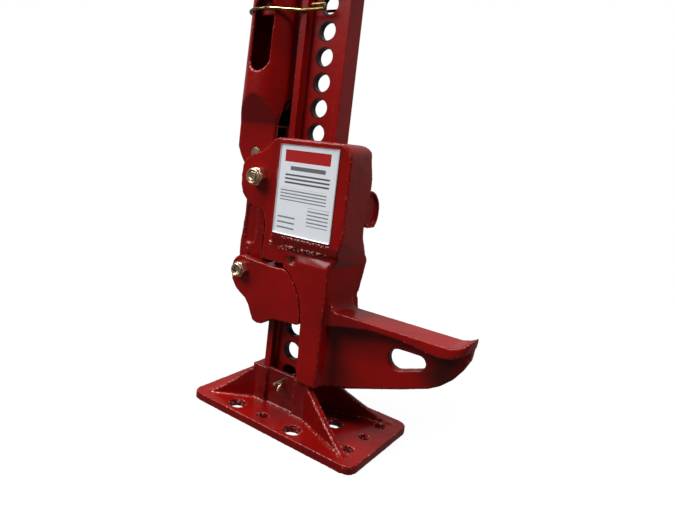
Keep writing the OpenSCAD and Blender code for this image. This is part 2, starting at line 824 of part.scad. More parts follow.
module handle_end_cap() {
    rim = 2;
    depth = 22;
    color("dimgray") translate([socket_x, 0, tube_end_z + tube_len]) {
        translate([0, 0, -depth]) cylinder(d = tube_d - 2 * tube_wall - gap, h = depth + cut);
        cylinder(d = tube_d + rim, h = 2 * rim);
    }
}

// A round wire swept along points, one unbroken tube
function unit(v) = v / norm(v);
function carry(u, t) = unit(u - (u * t) * t);

module wire(points, r, sides, up) {
    n = len(points);
    ways = [for (i = [0 : n - 1]) unit(points[min(i + 1, n - 1)] - points[max(i - 1, 0)])];
    ups = [for (i = 0, u = carry(up, ways[0]); i < n; i = i + 1, u = carry(u, ways[min(i, n - 1)])) u];
    rings = [
        for (i = [0 : n - 1]) for (k = [0 : sides - 1]) let(b = 360 * k / sides)
            points[i] + r * (cos(b) * ups[i] + sin(b) * cross(ways[i], ups[i]))
    ];
    walls = [
        for (i = [0 : n - 2]) for (k = [0 : sides - 1])
            let(p = i * sides + k, q = i * sides + (k + 1) % sides)
            each [[p, q, q + sides], [p, q + sides, p + sides]]
    ];
    e = (n - 1) * sides;
    caps = [for (k = [1 : sides - 2]) each [[0, k + 1, k], [e, e + k, e + k + 1]]];
    polyhedron(rings, concat(walls, caps));
}

// The wire clip round the socket, with a hook on each side of the bar
clip_wire = 2.8;
clip_rise = 151;
clip_z = shear_z + clip_rise;
clip_hook = 4.2;
clip_reach = -1;
clip_end = 12;
clip_low_angle = 58;
clip_high_angle = 170;

// Half of the clip's line, from the hook's end to the ring; s is the side
function clip_half(s) =
    let(
        r = clip_wire / 2,
        ring = socket_r(clip_z) + r + gap,
        arm_y = bar_d / 2 + r + gap,
        bend = clip_hook / 2
    )
    concat(
        [[clip_reach - clip_end, s * arm_y, clip_z + clip_hook]],
        [for (a = [90 : -30 : -90])
            [clip_reach + bend * cos(a), s * arm_y, clip_z + bend + bend * sin(a)]],
        [[-bar_w / 2, s * arm_y, clip_z]],
        [for (i = [0 : 10])
            let(a = clip_low_angle + (clip_high_angle - clip_low_angle) * i / 10)
            [socket_x + ring * cos(a), s * ring * sin(a), clip_z]]
    );

module handle_clip() {
    front = clip_half(-1);
    back = clip_half(1);
    points = concat(
        front,
        [[socket_x - socket_r(clip_z) - clip_wire / 2 - gap, 0, clip_z]],
        [for (i = [len(back) - 1 : -1 : 0]) back[i]]
    );
    color(zinc) wire(points, clip_wire / 2, 10, [0, 0, 1]);
}

// A climbing pin, seen with its tip at y
module climbing_pin(z, y) {
    r = climb_pin_d / 2;
    collar_r = r * 1.5;
    collar_y = cage_in_y + gap - pin_tip_y;
    bevel = 4;
    color(steel) difference() {
        union() {
            round_y(0, z, r, y, y + pin_len);
            round_y(0, z, collar_r, y + collar_y, y + collar_y + collar_t);
        }
        translate([0, y, z + r]) rotate([45, 0, 0])
            block([-climb_pin_d, -bevel, -bevel], [climb_pin_d, bevel, bevel]);
        translate([-climb_pin_d, y + pin_len - cross_pin_in, z]) rotate([0, 90, 0])
            cylinder(r = cross_pin_r + pin_clear, h = 2 * climb_pin_d);
    }
}

cross_pin_r = 2.5;
cross_pin_len = 30;
cross_pin_in = 6;
collar_t = 2.6;

module cross_pin(z, y) {
    color(zinc) translate([-cross_pin_len / 2, y + pin_len - cross_pin_in, z]) rotate([0, 90, 0])
        cylinder(r = cross_pin_r, h = cross_pin_len);
}

module upper_climbing_pin() climbing_pin(upper_pin_z, pin_tip_y);
module lower_climbing_pin() climbing_pin(lower_pin_z, pin_tip_y + pin_stroke);
module upper_cross_pin() cross_pin(upper_pin_z, pin_tip_y);
module lower_cross_pin() cross_pin(lower_pin_z, pin_tip_y + pin_stroke);

// A coil spring along Y from y0 to y1, as one tube swept along a helix
curls = 6;
spring_rings = 8;
spring_sides = 6;
spring_r = climb_pin_d / 2 + spring_wire / 2 + 4 * gap;

module coil_spring(z, y0, y1) {
    r = spring_wire / 2;
    n = curls * spring_rings;
    line = [
        for (i = [0 : n]) let(a = 360 * i / spring_rings)
            [spring_r * cos(a), y0 + r + (y1 - y0 - 2 * r) * i / n, z + spring_r * sin(a)]
    ];
    least = min([for (i = [0 : n - spring_rings]) norm(line[i + spring_rings] - line[i])]);
    echo("least gap of the spring to itself", least - spring_wire);
    color(steel) wire(line, r, spring_sides, [1, 0, 0]);
}

spring_y0 = cage_in_y + collar_t + 2 * gap;
spring_y1 = cage_bridge_y - gap;

module upper_pin_spring() coil_spring(upper_pin_z, spring_y0, spring_y1);
module lower_pin_spring() coil_spring(lower_pin_z, spring_y0 + pin_stroke, spring_y1);

// The reversing latch: a half round lever with a rim, on a pin at the back
latch_r = 19.5;
latch_cy = 22.5;
latch_cz = high(0.726);
latch_plate = 4.5;
latch_gap = 0.5;

// The right side's back edge where the latch lies along it, moved out by d
function latch_edge(d) = [for (i = [7 : 10])
    [side_share[i][0] * shoulder_y + latch_gap + d, high(side_share[i][1])]];

module latch_outline(shrink) {
    foot_r = latch_y - latch_edge(shrink)[0][0];
    back_y = latch_y + 2 * latch_r;
    translate([latch_y, latch_z]) circle(r = foot_r);
    intersection() {
        translate([latch_cy, latch_cz]) circle(r = latch_r - shrink);
        polygon(concat(
            [[back_y, high(side_share[10][1])]], [[back_y, latch_z - foot_r]],
            [[latch_y, latch_z - foot_r]], [[latch_y, latch_z]],
            [[latch_edge(shrink)[0][0], latch_z]],
            [for (i = [1 : 3]) latch_edge(shrink)[i]]
        ));
    }
}

module reversing_latch() {
    color(paint) difference() {
        union() {
            along_x(latch_x1 - latch_plate, latch_x1) latch_outline(0);
            along_x(latch_x1 - cut, latch_x1 + latch_rim) difference() {
                latch_outline(0);
                latch_outline(latch_rim);
            }
            translate([latch_x0 + gap, latch_y, latch_z]) rotate([0, 90, 0])
                cylinder(d = 2 * latch_pin_d, h = latch_x1 - latch_x0 - gap);
        }
        translate([0, latch_y, latch_z]) rotate([0, 90, 0])
            cylinder(d = latch_pin_d + 2 * pin_clear, h = latch_x1 - latch_rim);
    }
}

module latch_pin() {
    color(zinc) translate([pass_x + 2 * cut, latch_y, latch_z]) rotate([0, 90, 0])
        cylinder(d = latch_pin_d, h = latch_x1 - latch_rim - pass_x - 2 * cut - gap);
}

standard_bar();
foot();
foot_cotter_pin();
top_clamp();
clamp_bolt();
clamp_nut();
large_runner();
shear_bolt();
shear_nut();
handle_socket();
handle_tube();
handle_end_cap();
handle_clip();
socket_pin();
small_runner();
pitman();
pitman_bolt();
pitman_nut();
upper_climbing_pin();
upper_cross_pin();
upper_pin_spring();
lower_climbing_pin();
lower_cross_pin();
lower_pin_spring();
reversing_latch();
latch_pin();
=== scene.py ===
import math

import bpy
from mathutils import Matrix, Vector, noise

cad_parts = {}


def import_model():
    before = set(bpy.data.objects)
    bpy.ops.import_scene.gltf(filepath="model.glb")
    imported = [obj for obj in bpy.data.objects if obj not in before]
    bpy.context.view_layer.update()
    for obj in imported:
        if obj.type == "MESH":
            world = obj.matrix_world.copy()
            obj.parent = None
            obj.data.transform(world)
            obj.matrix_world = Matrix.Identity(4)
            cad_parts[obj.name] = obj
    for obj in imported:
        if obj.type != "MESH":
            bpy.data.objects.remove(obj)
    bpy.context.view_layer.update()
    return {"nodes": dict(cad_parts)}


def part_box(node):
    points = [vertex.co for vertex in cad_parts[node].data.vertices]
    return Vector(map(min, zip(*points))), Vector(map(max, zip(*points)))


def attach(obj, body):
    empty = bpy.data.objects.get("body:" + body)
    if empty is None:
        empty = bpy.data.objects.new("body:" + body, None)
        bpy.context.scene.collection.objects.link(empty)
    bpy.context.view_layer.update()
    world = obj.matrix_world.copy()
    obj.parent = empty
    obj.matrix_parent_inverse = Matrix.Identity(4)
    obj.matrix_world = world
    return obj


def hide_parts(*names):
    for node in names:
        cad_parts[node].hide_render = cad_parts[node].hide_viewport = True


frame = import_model()
bpy.ops.object.select_all(action="DESELECT")


# Camera: where the photograph was taken from. It stands to the front right, a quarter
# of a metre up and slightly tilted, and the picture's middle lies off the lens's axis.
picture_wide_px, picture_high_px = 675, 510
focal_px, axis_x_px, axis_y_px = 551.17, 289.18, 198.45
sensor_mm = 36
camera_at = Vector((0.2817, -0.4105, 0.2496))
camera_yaw, camera_pitch, camera_roll = (math.radians(d) for d in (36.74, 5.85, 6.13))
behind = Vector((
    math.sin(camera_yaw) * math.cos(camera_pitch),
    -math.cos(camera_yaw) * math.cos(camera_pitch),
    math.sin(camera_pitch),
))
level_right = (-behind).cross(Vector((0, 0, 1))).normalized()
level_up = level_right.cross(-behind)
right = level_right * math.cos(camera_roll) + level_up * math.sin(camera_roll)
up = level_up * math.cos(camera_roll) - level_right * math.sin(camera_roll)
lens = bpy.data.cameras.new("camera")
lens.sensor_width = sensor_mm
lens.lens = sensor_mm * focal_px / picture_wide_px
lens.shift_x = (picture_wide_px / 2 - axis_x_px) / picture_wide_px
lens.shift_y = (axis_y_px - picture_high_px / 2) / picture_wide_px
lens.clip_start, lens.clip_end = 0.01, 100
camera = bpy.data.objects.new("camera", lens)
camera.matrix_world = Matrix((
    (right.x, up.x, behind.x, camera_at.x),
    (right.y, up.y, behind.y, camera_at.y),
    (right.z, up.z, behind.z, camera_at.z),
    (0, 0, 0, 1),
))
bpy.context.collection.objects.link(camera)
bpy.context.scene.camera = camera
bpy.context.scene.view_settings.view_transform = "Standard"


# Floor: a wide matt white sheet. Close to the jack it takes the soft shadow, and
# further out it fades into the white behind it.
def linear(hex_code):
    """A colour written as sRGB hex, as the linear values that a shader takes."""
    parts = [int(hex_code[i:i + 2], 16) / 255 for i in (1, 3, 5)]
    return [c / 12.92 if c <= 0.04045 else ((c + 0.055) / 1.055) ** 2.4 for c in parts] + [1]


def node(tree, kind, values=None, links=None):
    """Adds one shader node, sets its fields and sockets, and links what feeds it."""
    made = tree.nodes.new("ShaderNode" + kind)
    for key, value in (values or {}).items():
        if isinstance(key, int) or key in made.inputs:
            made.inputs[key].default_value = value
        else:
            setattr(made, key, value)
    for key, source in (links or {}).items():
        if source is not None:
            tree.links.new(source, made.inputs[key])
    return made


def blank(name):
    """A new material with an empty tree of nodes, and that tree."""
    made = bpy.data.materials.new(name)
    made.use_nodes = True
    made.node_tree.nodes.clear()
    return made, made.node_tree


def looked_at(tree, rays):
    """One for rays that come straight from the eye, also through glass, else zero."""
    return node(tree, "Math", {"operation": "MAXIMUM"},
                {0: rays["Is Camera Ray"], 1: rays["Is Transmission Ray"]}).outputs[0]


floor_size, shadow_reach, white_reach, white_near = 24, 0.25, 1.3, 0.93
bpy.ops.mesh.primitive_plane_add(size=floor_size, location=(0, 0, 0))
floor = bpy.context.object
floor.name = "floor"

# Matt paper, overexposed to a plain white with only a soft shadow. What it throws back
# at the jack is far weaker than it looks, so that the enamel above it stays deep.
paper, tree = blank("matt_white_paper")
place = node(tree, "TexCoord").outputs["Object"]
far = node(tree, "VectorMath", {"operation": "LENGTH"}, {0: place}).outputs["Value"]
fade = node(tree, "MapRange", {
    "From Min": shadow_reach, "From Max": white_reach, "To Min": white_near,
    "interpolation_type": "SMOOTHSTEP",
}, {"Value": far}).outputs[0]
rays = node(tree, "LightPath").outputs
looked = looked_at(tree, rays)
seen = node(tree, "Math", {"operation": "MAXIMUM"},
            {0: looked, 1: rays["Is Glossy Ray"]}).outputs[0]
share = node(tree, "Math", {"operation": "MULTIPLY"}, {0: seen, 1: fade}).outputs[0]
gleam = node(tree, "MapRange", {"To Min": 0.15, "To Max": 1.0}, {"Value": looked}).outputs[0]
dull = node(tree, "Mix", {"data_type": "RGBA", 6: linear("#4A4A4A"), 7: linear("#F4F4F2")},
            {0: looked}).outputs[2]
sheet = node(tree, "BsdfPrincipled", {"Roughness": 0.9}, {"Base Color": dull})
white = node(tree, "Emission", {"Color": (1, 1, 1, 1)}, {"Strength": gleam})
both = node(tree, "MixShader", links={0: share, 1: sheet.outputs[0], 2: white.outputs[0]})
node(tree, "OutputMaterial", links={"Surface": both.outputs[0]})
floor.data.materials.append(paper)


# Light: a plain studio, white to the eye. What the enamel mirrors is a grey sweep,
# palest behind the jack and a little to the right. A large soft box stands front left,
# smaller ones hang overhead and to the right, and one behind lights without a reflection.
sweep_dark, sweep_pale, sweep_aside, room_glow = 0.05, 0.4, 0.35, 0.07
sweep_at = (right * sweep_aside - behind).normalized()
world = bpy.data.worlds.new("studio")
bpy.context.scene.world = world
world.use_nodes = True
tree = world.node_tree
tree.nodes.clear()
way = node(tree, "TexCoord").outputs["Generated"]
facing = node(tree, "VectorMath", {"operation": "DOT_PRODUCT", 1: tuple(sweep_at)},
              {0: way}).outputs["Value"]
sweep = node(tree, "MapRange", {
    "From Min": -0.1, "From Max": 1.0, "To Min": sweep_dark, "To Max": sweep_pale,
    "interpolation_type": "SMOOTHSTEP",
}, {"Value": facing}).outputs[0]
rays = node(tree, "LightPath").outputs
looked = looked_at(tree, rays)
strength = node(tree, "Mix", {"data_type": "FLOAT", 2: room_glow},
                {0: rays["Is Glossy Ray"], 3: sweep}).outputs[0]
strength = node(tree, "Mix", {"data_type": "FLOAT", 3: 1.0},
                {0: looked, 2: strength}).outputs[0]
glow = node(tree, "Background", {"Color": (1, 1, 1, 1)}, {"Strength": strength})
node(tree, "OutputWorld", links={"Surface": glow.outputs[0]})

for name, at, aim, size, watts in (
    ("front", (-1.40, -1.52, 1.72), (0, 0, 0.25), 1.2, 60),
    ("top", (-0.45, -0.2, 2.7), (0, 0, 0.2), 0.6, 56),
    ("spark", (-0.5, -0.9, 2.2), (0, 0, 0.25), 0.16, 12),
    ("side", (1.5, -0.4, 2.0), (0, 0, 0.3), 0.6, 28),
    ("back", (-0.7, 2.4, 2.2), (0, 0, 0.3), 0.8, 24),
):
    lamp = bpy.data.lights.new(name, "AREA")
    lamp.shape, lamp.size, lamp.energy = "SQUARE", size, watts
    box = bpy.data.objects.new(name, lamp)
    box.location = at
    box.visible_glossy = name != "back"
    box.rotation_euler = (Vector(at) - Vector(aim)).to_track_quat("Z", "Y").to_euler()
    bpy.context.collection.objects.link(box)


# Standard bar: a rolled steel I section with a row of punched holes, dipped in
# glossy red machine enamel. Its faces are smooth and its arrises slightly rounded.
hole_first, hole_pitch = 0.0353, 0.0224
# Where the painted shade crescents lie beside the bar's holes.
crescent_left, crescent_in, crescent_out = 0.0013, 0.0088, 0.0096


def enamel(name, red, deep, glint, pale_edges_at, flakes=(0.56, 0.72)):
    """Red alkyd enamel: a wet gloss over steel or iron, pale on sharp edges with thin paint and
    painted highlight.

    It clouds from red to deep. The edge function finds the edges, glint is how pale they get,
    and flakes is the span of a noise over which the pale breaks up.
    """
    cloud_mm, flake_mm, lump_mm, grit_mm = 45, 1.9, 11, 1.6
    made, tree = blank(name)
    place = node(tree, "TexCoord").outputs["Object"]
    cloud = node(tree, "TexNoise", {"Scale": 1000 / cloud_mm, "Detail": 3},
                 {"Vector": place}).outputs[0]
    cloud = node(tree, "MapRange", {"From Min": 0.35, "From Max": 0.65},
                 {"Value": cloud}).outputs[0]
    tone = node(tree, "Mix", {"data_type": "RGBA", 6: linear(red), 7: linear(deep)},
                {0: cloud}).outputs[2]
    edge, rounded = pale_edges_at(tree)
    flake = node(tree, "TexNoise", {"Scale": 1000 / flake_mm, "Detail": 1},
                 {"Vector": place}).outputs[0]
    flake = node(tree, "MapRange", {"From Min": flakes[0], "From Max": flakes[1]},
                 {"Value": flake}).outputs[0]
    wear_and_glint = node(tree, "Math", {"operation": "MULTIPLY"}, {0: edge, 1: flake}).outputs[0]
    wear_and_glint = node(tree, "Math", {"operation": "MULTIPLY", 1: glint}, {0: wear_and_glint}).outputs[0]
    # Pale on the edges: partly thin, worn paint and partly a painted highlight.
    colour = node(tree, "Mix", {"data_type": "RGBA", 7: linear("#D9A79A")},
                  {0: wear_and_glint, 6: tone}).outputs[2]
    lumps = node(tree, "TexNoise", {"Scale": 1000 / lump_mm, "Detail": 1},
                 {"Vector": place}).outputs[0]
    # Real enamel's grit is finer than a pixel of the picture, so it is drawn coarser.
    grit = node(tree, "TexNoise", {"Scale": 1000 / grit_mm, "Detail": 2},
                {"Vector": place}).outputs[0]
    wave = node(tree, "Bump", {"Strength": 0.5, "Distance": 0.0004},
                {"Height": lumps, "Normal": rounded}).outputs[0]
    skin = node(tree, "Bump", {"Strength": 0.25, "Distance": 0.0002},
                {"Height": grit, "Normal": wave}).outputs[0]
    paint = node(tree, "BsdfPrincipled", {
        "Roughness": 0.34, "Specular IOR Level": 0.12, "Coat Weight": 0.3,
        "Coat Roughness": 0.13, "Coat IOR": 1.45,
    }, {"Base Color": colour, "Normal": skin})
    node(tree, "OutputMaterial", links={"Surface": paint.outputs[0]})
    return made


def rolled_edge(tree):
    """How close a point is to an arris of rolled steel, and the normal rounded there."""
    face = node(tree, "NewGeometry").outputs["Normal"]
    rounded = node(tree, "Bevel", {"samples": 6, "Radius": 0.0009}).outputs[0]
    bent = node(tree, "VectorMath", {"operation": "DOT_PRODUCT"},
                {0: face, 1: rounded}).outputs["Value"]
    edge = node(tree, "MapRange", {"From Min": 0.985, "From Max": 0.86},
                {"Value": bent}).outputs[0]
    return edge, rounded


def overlay_colour(tree, share, hex_code):
    """Lays a second colour over an enamel that is there, by a share."""
    paint = tree.nodes["Principled BSDF"].inputs["Base Color"]
    tone = node(tree, "Mix", {"data_type": "RGBA", 7: linear(hex_code)},
                {0: share, 6: paint.links[0].from_socket}).outputs[2]
    tree.links.new(tone, paint)


def dress(part, material):
    """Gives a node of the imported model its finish, in the slots it already has."""
    shown = frame["nodes"][part]
    if not shown.material_slots:
        shown.data.materials.append(material)
    for slot in shown.material_slots:
        slot.material = material


# Enamel on smooth rolled steel: an even deep red with soft, clear highlights.
rolled_red = enamel("red_enamel_on_rolled_steel", "#880703", "#740503", 0.3, rolled_edge)

# The bar's own coat: the same red, with a crescent of painted shade beside each hole,
# in place of the unlit wall of the hole.
bar_red = enamel("red_enamel_with_painted_hole_shade", "#880703", "#740503", 0.3, rolled_edge)
tree = bar_red.node_tree
xyz = node(tree, "SeparateXYZ", links={0: node(tree, "TexCoord").outputs["Object"]}).outputs
above_first = node(tree, "Math", {"operation": "SUBTRACT", 1: hole_first},
                   {0: xyz["Z"]}).outputs[0]
off_z = node(tree, "Math", {"operation": "PINGPONG", 1: hole_pitch / 2},
             {0: above_first}).outputs[0]
off_x = node(tree, "Math", {"operation": "ADD", 1: crescent_left}, {0: xyz["X"]}).outputs[0]
off = node(tree, "CombineXYZ", links={0: off_x, 2: off_z}).outputs[0]
off = node(tree, "VectorMath", {"operation": "LENGTH"}, {0: off}).outputs["Value"]
# Painted shade: a dark crescent at the left of each hole, repeated at the holes' pitch.
painted_hole_shade = node(tree, "MapRange", {"From Min": crescent_out, "From Max": crescent_in},
            {"Value": off}).outputs[0]
overlay_colour(tree, painted_hole_shade, "#340A07")
dress("standard_bar", bar_red)


# Foot: a ribbed sand casting that the bar stands in, held by a cotter pin through
# both. The same enamel shows the sand's grain here, and edges cast rough, pale with worn paint
# and painted highlight.
foot_cell, foot_crumbly = 0.0010, 0.0008
foot_low, foot_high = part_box("foot")
plate_top, plate_rim, seam_low, seam_high, seam_depth = 0.0075, 0.006, 0.005, 0.0095, 0.00028
# Where the painted shade in front of the socket lies, how far it reaches and how dark it gets.
painted_shade_at, painted_shade_reach, painted_shade_share = (0, -0.021, 0.030), 0.045, 0.55


def cast_edge(tree):
    """The casting's own record of its rounded edges, kept on its mesh."""
    return node(tree, "Attribute", {"attribute_name": "arris"}).outputs["Fac"], None


def darken_near(tree, middle, reach, share, hex_code):
    """Darkens an enamel round one place with painted shade, fading out to nothing at its reach.
    """
    place = node(tree, "TexCoord").outputs["Object"]
    off = node(tree, "VectorMath", {"operation": "DISTANCE", 1: middle},
               {0: place}).outputs["Value"]
    near = node(tree, "MapRange", {
        "From Min": reach, "From Max": 0, "To Max": share, "interpolation_type": "SMOOTHSTEP",
    }, {"Value": off}).outputs[0]
    overlay_colour(tree, near, hex_code)


def pick(piece):
    """Makes a piece the only one selected, for the operators that follow."""
    bpy.ops.object.select_all(action="DESELECT")
    piece.select_set(True)
    bpy.context.view_layer.objects.active = piece


def whole_mesh(piece, operator, **fields):
    """Runs one operator on the whole of a piece's mesh."""
    pick(piece)
    bpy.ops.object.mode_set(mode="EDIT")
    bpy.ops.mesh.select_all(action="SELECT")
    operator(**fields)
    bpy.ops.object.mode_set(mode="OBJECT")


def modify(piece, kind, **fields):
    """Adds a modifier to a piece, sets it, and applies it."""
    pick(piece)
    step = piece.modifiers.new(kind, kind)
    for key, value in fields.items():
        setattr(step, key, value)
    bpy.ops.object.modifier_apply(modifier=step.name)


def record(piece, name, shares):
    """Keeps one share for each point of a mesh, where a material can read it."""
    piece.data.attributes.new(name, "FLOAT", "POINT").data.foreach_set("value", shares)


# Enamel on sand-cast iron: the same red, pale on its crumbs along the rounded arrises with worn
# paint and painted highlight.
cast_red = enamel("red_enamel_on_cast_iron", "#880703", "#740503", 0.3, cast_edge)

# The foot's coat: duller and darker, with paler painted glints on more crumbs than the rest,
# and with painted shade that darkens it in front of the socket.
foot_red = enamel("red_enamel_on_rough_cast_iron", "#7A0603", "#660402", 0.9, cast_edge)
darken_near(foot_red.node_tree, painted_shade_at, painted_shade_reach, painted_shade_share, "#2A0403")

lump_size, lump_rise, crumb_size, same_point = 0.009, 0.0002, 0.0022, 1e-6
sand_lumps = bpy.data.textures.new("sand_lumps", "CLOUDS")
sand_lumps.noise_scale, sand_lumps.noise_depth = lump_size, 1
sand_crumbs = bpy.data.textures.new("sand_crumbs", "CLOUDS")
sand_crumbs.noise_scale, sand_crumbs.noise_depth = crumb_size, 1


def casting(part, body, cell, cutters=(), soften=5, paint=cast_red, rough=None,
            crumbly=0.0004, inside=0):
    """A node's solid as it leaves the sand mould: arrises rounded, skin uneven.

    The cell is the size of its finest detail, soften the passes that round it off, and
    crumbly the height of the crumbs on its arrises. The function rough names further
    crumbly places, also pale with worn paint and painted highlight. Within the distance
    called inside, a wall counts as facing another and is marked for painted shade.
    """
    made = bpy.data.objects.new(part + "_casting", frame["nodes"][part].data.copy())
    bpy.context.collection.objects.link(made)
    whole_mesh(made, bpy.ops.mesh.remove_doubles, threshold=same_point)
    low = [min(v.co[i] for v in made.data.vertices) for i in range(3)]
    high = [max(v.co[i] for v in made.data.vertices) for i in range(3)]
    for cutter in cutters:
        modify(made, "BOOLEAN", object=cutter, operation="DIFFERENCE", solver="EXACT")
        bpy.data.objects.remove(cutter)
    modify(made, "REMESH", mode="VOXEL", voxel_size=cell)

    # A point that smoothing draws in by this much of a cell is fully on an arris.
    drawn_in = 0.28 * cell
    sharp = [v.co.copy() for v in made.data.vertices]
    modify(made, "SMOOTH", factor=0.5, iterations=soften)
    wear_and_glint = []
    for v, was in zip(made.data.vertices, sharp):
        extra = rough(v, was) if rough else 0
        wear_and_glint.append(min(1, max(0, (was - v.co).dot(v.normal) / drawn_in, extra)))
    record(made, "arris", wear_and_glint)
    group = made.vertex_groups.new(name="arris")
    for i, share in enumerate(wear_and_glint):
        if share > 0:
            group.add([i], share, "REPLACE")
    modify(made, "DISPLACE", texture=sand_lumps, texture_coords="LOCAL", strength=lump_rise)
    modify(made, "DISPLACE", texture=sand_crumbs, texture_coords="LOCAL", strength=crumbly,
           vertex_group="arris")

    # The skin's lumps and crumbs stay within the box of the solid they grew from.
    for v in made.data.vertices:
        v.co = [min(max(v.co[i], low[i]), high[i]) for i in range(3)]
    # Walls that face another wall of the casting within reach are marked for painted shade.
    if inside:
        clear = 0.0006
        bpy.context.view_layer.update()
        record(made, "bare", [
            float(made.ray_cast(v.co + v.normal * clear, v.normal, distance=inside)[0])
            for v in made.data.vertices
        ])
    pick(made)
    bpy.ops.object.shade_smooth()
    made.data.materials.clear()
    made.data.materials.append(paint)
    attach(made, body)
    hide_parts(part)


def foot_seams_and_glints(v, was):
    """Where the foot's casting is roughest and its enamel palest with painted glints: the ribs'
    feet and the walls of its holes.
    """
    seam = 0
    if seam_low < v.co.z < seam_high:
        seam = (v.co - was).dot(v.normal) / seam_depth
    from_rim = min(v.co.x - foot_low[0], foot_high[0] - v.co.x,
                   v.co.y - foot_low[1], foot_high[1] - v.co.y)
    wall = v.co.z < plate_top and from_rim > plate_rim and abs(v.normal.z) < 0.75
    return max(seam, 0.9 * wall)


casting("foot", "frame", foot_cell, paint=foot_red, rough=foot_seams_and_glints, crumbly=foot_crumbly)


def plate(name, gold, pink, rough):
    """Plated or bare steel: a pale mirror that clouds softly from one tint to another."""
    cloud_mm, scuff_mm, arris_r = 5, 0.6, 0.0004
    made, tree = blank(name)
    place = node(tree, "TexCoord").outputs["Object"]
    cloud = node(tree, "TexNoise", {"Scale": 1000 / cloud_mm, "Detail": 2},
                 {"Vector": place}).outputs[0]
    cloud = node(tree, "MapRange", {"From Min": 0.4, "From Max": 0.62},
                 {"Value": cloud}).outputs[0]
    colour = node(tree, "Mix", {"data_type": "RGBA", 6: linear(gold), 7: linear(pink)},
                  {0: cloud}).outputs[2]
    rounded = node(tree, "Bevel", {"samples": 6, "Radius": arris_r}).outputs[0]
    # Real scuffs are finer than a pixel of the picture, so they are drawn coarser.
    scuff = node(tree, "TexNoise", {"Scale": 1000 / scuff_mm, "Detail": 3},
                 {"Vector": place}).outputs[0]
    skin = node(tree, "Bump", {"Strength": 0.1, "Distance": 0.0001},
                {"Height": scuff, "Normal": rounded}).outputs[0]
    metal = node(tree, "BsdfPrincipled", {"Metallic": 1.0, "Roughness": rough},
                 {"Base Color": colour, "Normal": skin})
    node(tree, "OutputMaterial", links={"Surface": metal.outputs[0]})
    return made


# Yellow zinc on bolts, nuts and pins: a warm pale metal that clouds towards pink.
gold_zinc = plate("yellow_zinc_on_steel", "#E4D5B4", "#CBAE92", 0.3)

# Paler zinc on the split pin: it reads as nearly white wire against the red.
pale_zinc = plate("pale_zinc_on_steel", "#E9E0C4", "#D8CBAA", 0.4)

# The pin is one length of wire, folded at its eye behind the socket. Its legs stand
# out in front, one straight and one bent down at its end. Their points are listed
# along the bends, with heights from the pin's axis, and the eye is an arc.
wire_r, eye_r, eye_y, pin_z = 0.0012, 0.0036, 0.0196, 0.0313
eye_from, eye_to, eye_step = -40, 220, 20
leg_out = [(0.0006, -0.0268, 0.0012), (0.0005, -0.0200, 0.0011), (0.0002, -0.0130, 0.0009),
           (0, -0.0060, 0.0009), (0, 0.0120, 0.0009)]
eye = [(0, eye_y + eye_r * math.sin(math.radians(d)), eye_r * math.cos(math.radians(d)))
       for d in range(eye_from, eye_to + 1, eye_step)]
leg_back = [(0, 0.0120, -0.0009), (0, -0.0060, -0.0009), (0.0004, -0.0130, -0.0010),
            (0.0014, -0.0182, -0.0016), (0.0016, -0.0202, -0.0030), (0.0010, -0.0208, -0.0068)]
route = leg_out + eye + leg_back
wire = bpy.data.curves.new("cotter_wire", "CURVE")
wire.dimensions, wire.bevel_depth, wire.bevel_resolution = "3D", wire_r, 3
wire.use_fill_caps = True
run = wire.splines.new("POLY")
run.points.add(len(route) - 1)
for point, (x, y, z) in zip(run.points, route):
    point.co = (x, y, z + pin_z, 1)
cotter = bpy.data.objects.new("cotter_wire", wire)
bpy.context.collection.objects.link(cotter)
pick(cotter)
bpy.ops.object.convert(target="MESH")
cotter = bpy.context.object
bpy.ops.object.shade_smooth_by_angle(angle=math.radians(50))
cotter.data.materials.append(pale_zinc)
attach(cotter, "frame")
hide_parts("foot_cotter_pin")


# Large runner: the main casting, with the load nose, the ears and the upper pin's
# cage, and the bolt, nut and pins that are fixed in it. Its front wall stands at minus
# wall_y, its back wall at plus wall_y, and the front of the nose's web at web_y.
wall_y, web_y, runner_cell, runner_crumbly = 0.021, -0.004, 0.0011, 0.0005
hollow_top, hollow_mid, hollow_low, hollow_deep = 0.1580, 0.1535, 0.1450, 0.0040
hollow_left, hollow_most, hollow_full, hollow_right = -0.010, 0.8, 0.006, 0.060
dimple_at, dimple_half = (-0.001, -wall_y, 0.1455), (0.0080, 0.0009, 0.0045)

# The hollow below the label panel is cut by a bar of five corners, drawn at three
# places along it: where it starts, where it is nearly full, and past its right end.
in_front = -wall_y - 0.010
corners, faces = [], [(0, 1, 2, 3, 4), (14, 13, 12, 11, 10)]
for x, deep in ((hollow_left, 0), (hollow_full, hollow_most), (hollow_right, 1)):
    corners += [
        (x, in_front, hollow_top),
        (x, -wall_y, hollow_top),
        (x, -wall_y + deep * hollow_deep, hollow_mid),
        (x, -wall_y, hollow_low),
        (x, in_front, hollow_low),
    ]
for here in (0, 5):
    for i in range(5):
        after = (i + 1) % 5
        faces.append((here + i, here + 5 + i, here + 5 + after, here + after))
mesh = bpy.data.meshes.new("hollow")
mesh.from_pydata(corners, [], faces)
hollow = bpy.data.objects.new("hollow", mesh)
bpy.context.collection.objects.link(hollow)
whole_mesh(hollow, bpy.ops.mesh.normals_make_consistent, inside=False)
bpy.ops.mesh.primitive_uv_sphere_add(segments=24, ring_count=12, radius=1,
                                     location=dimple_at, scale=dimple_half)
dimple = bpy.context.object
bpy.ops.object.transform_apply(location=True, rotation=True, scale=True)

